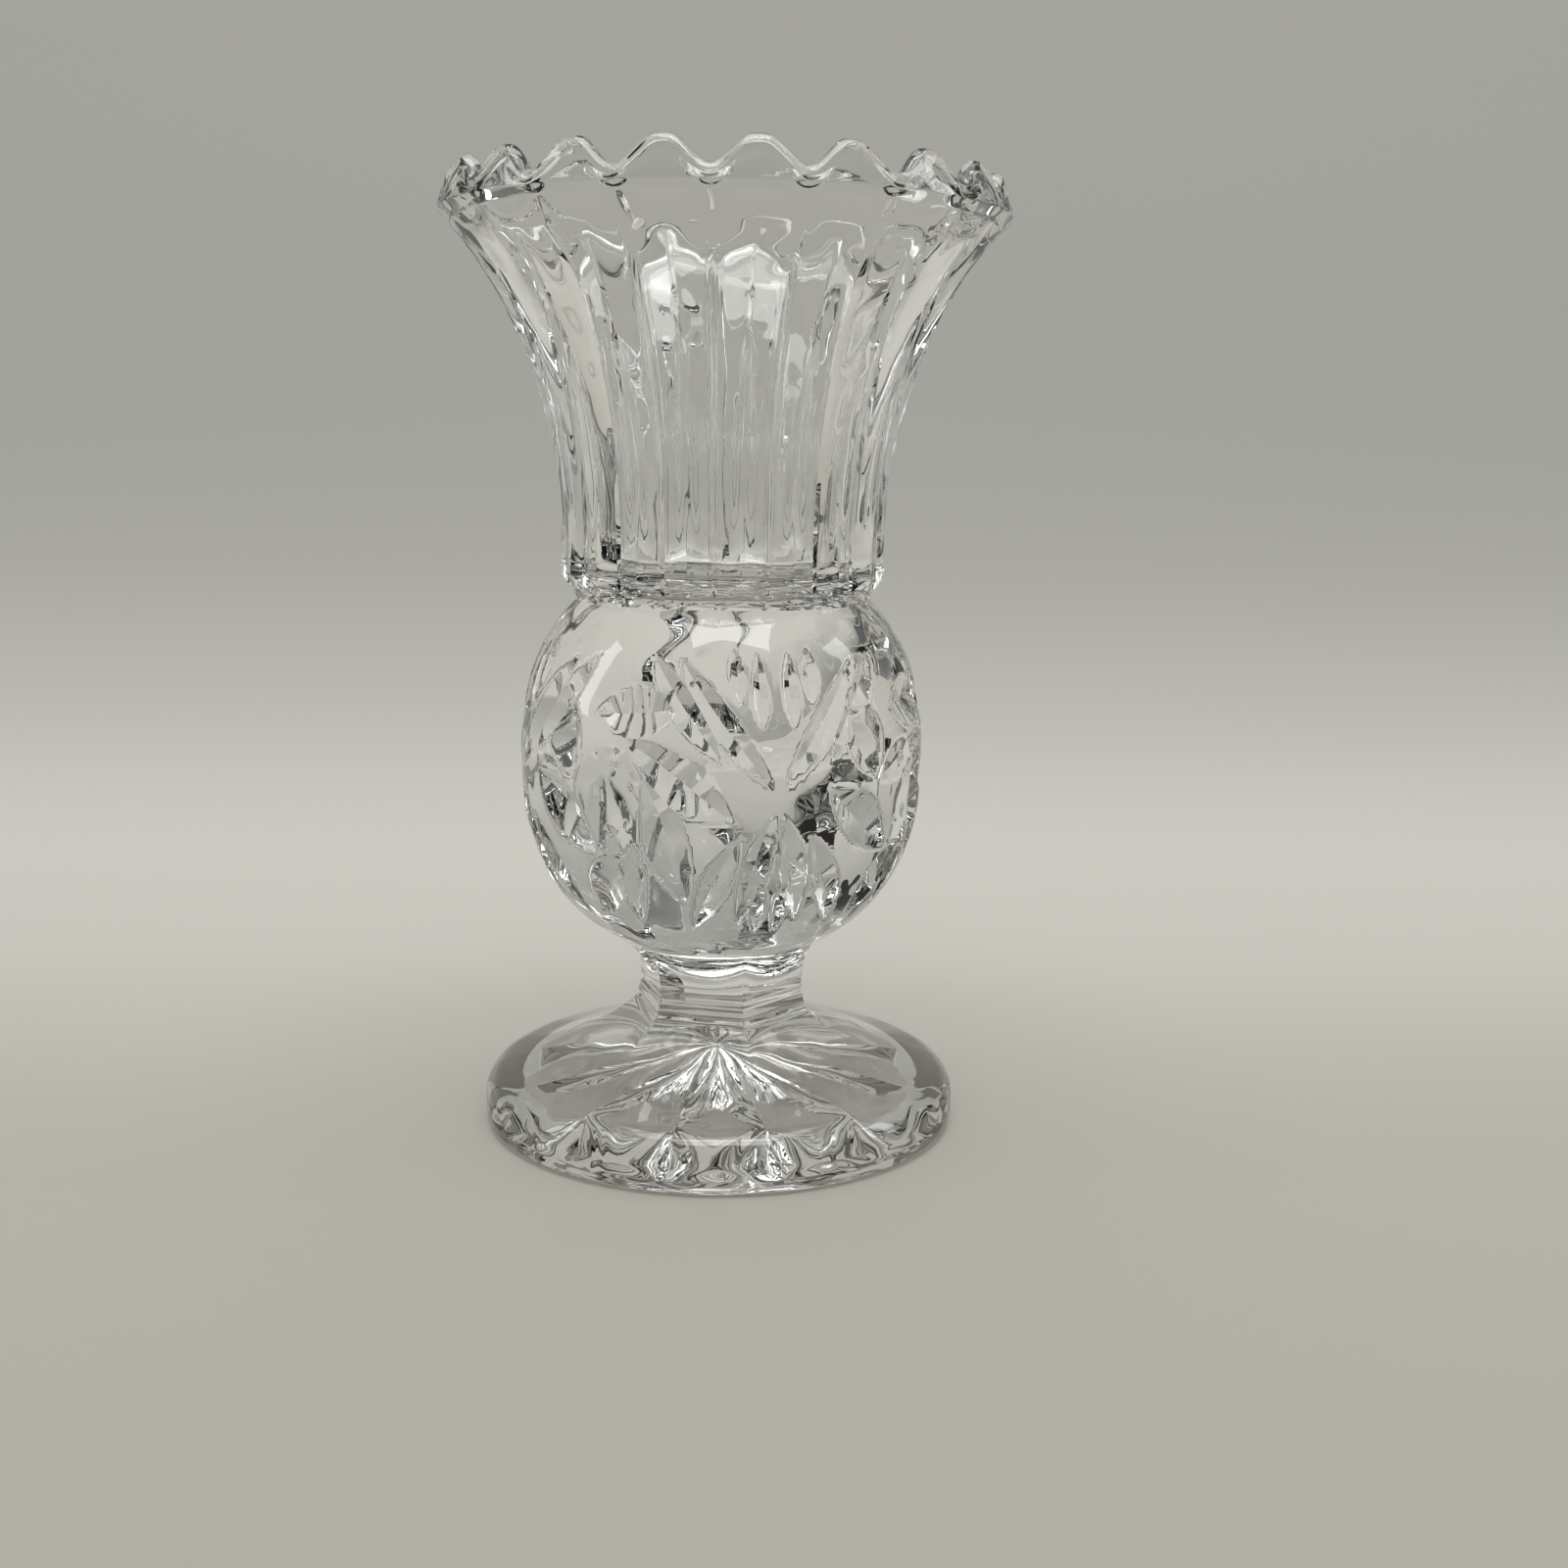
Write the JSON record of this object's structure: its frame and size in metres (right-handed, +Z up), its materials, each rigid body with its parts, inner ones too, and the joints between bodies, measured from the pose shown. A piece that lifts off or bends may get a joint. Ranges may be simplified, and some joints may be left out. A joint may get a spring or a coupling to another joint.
{
  "type": "bud vase",
  "caption": "Footed bud vase of clear pressed crystal: scalloped rim, flared ribbed neck, round bulb with pinwheel and cross cuts, faceted stem and domed foot.",
  "frame": {"origin": "on the table under the middle of the foot", "axes": "+Z up along the vase's axis; -Y points out through the middle of one pinwheel flower"},
  "size_m": [0.088, 0.088, 0.15],
  "materials": {
    "crystal": "fire-polished clear crystal"
  },
  "bodies": {
    "root": {"body": "crystal", "foot": "crystal"}
  },
  "joints": []
}
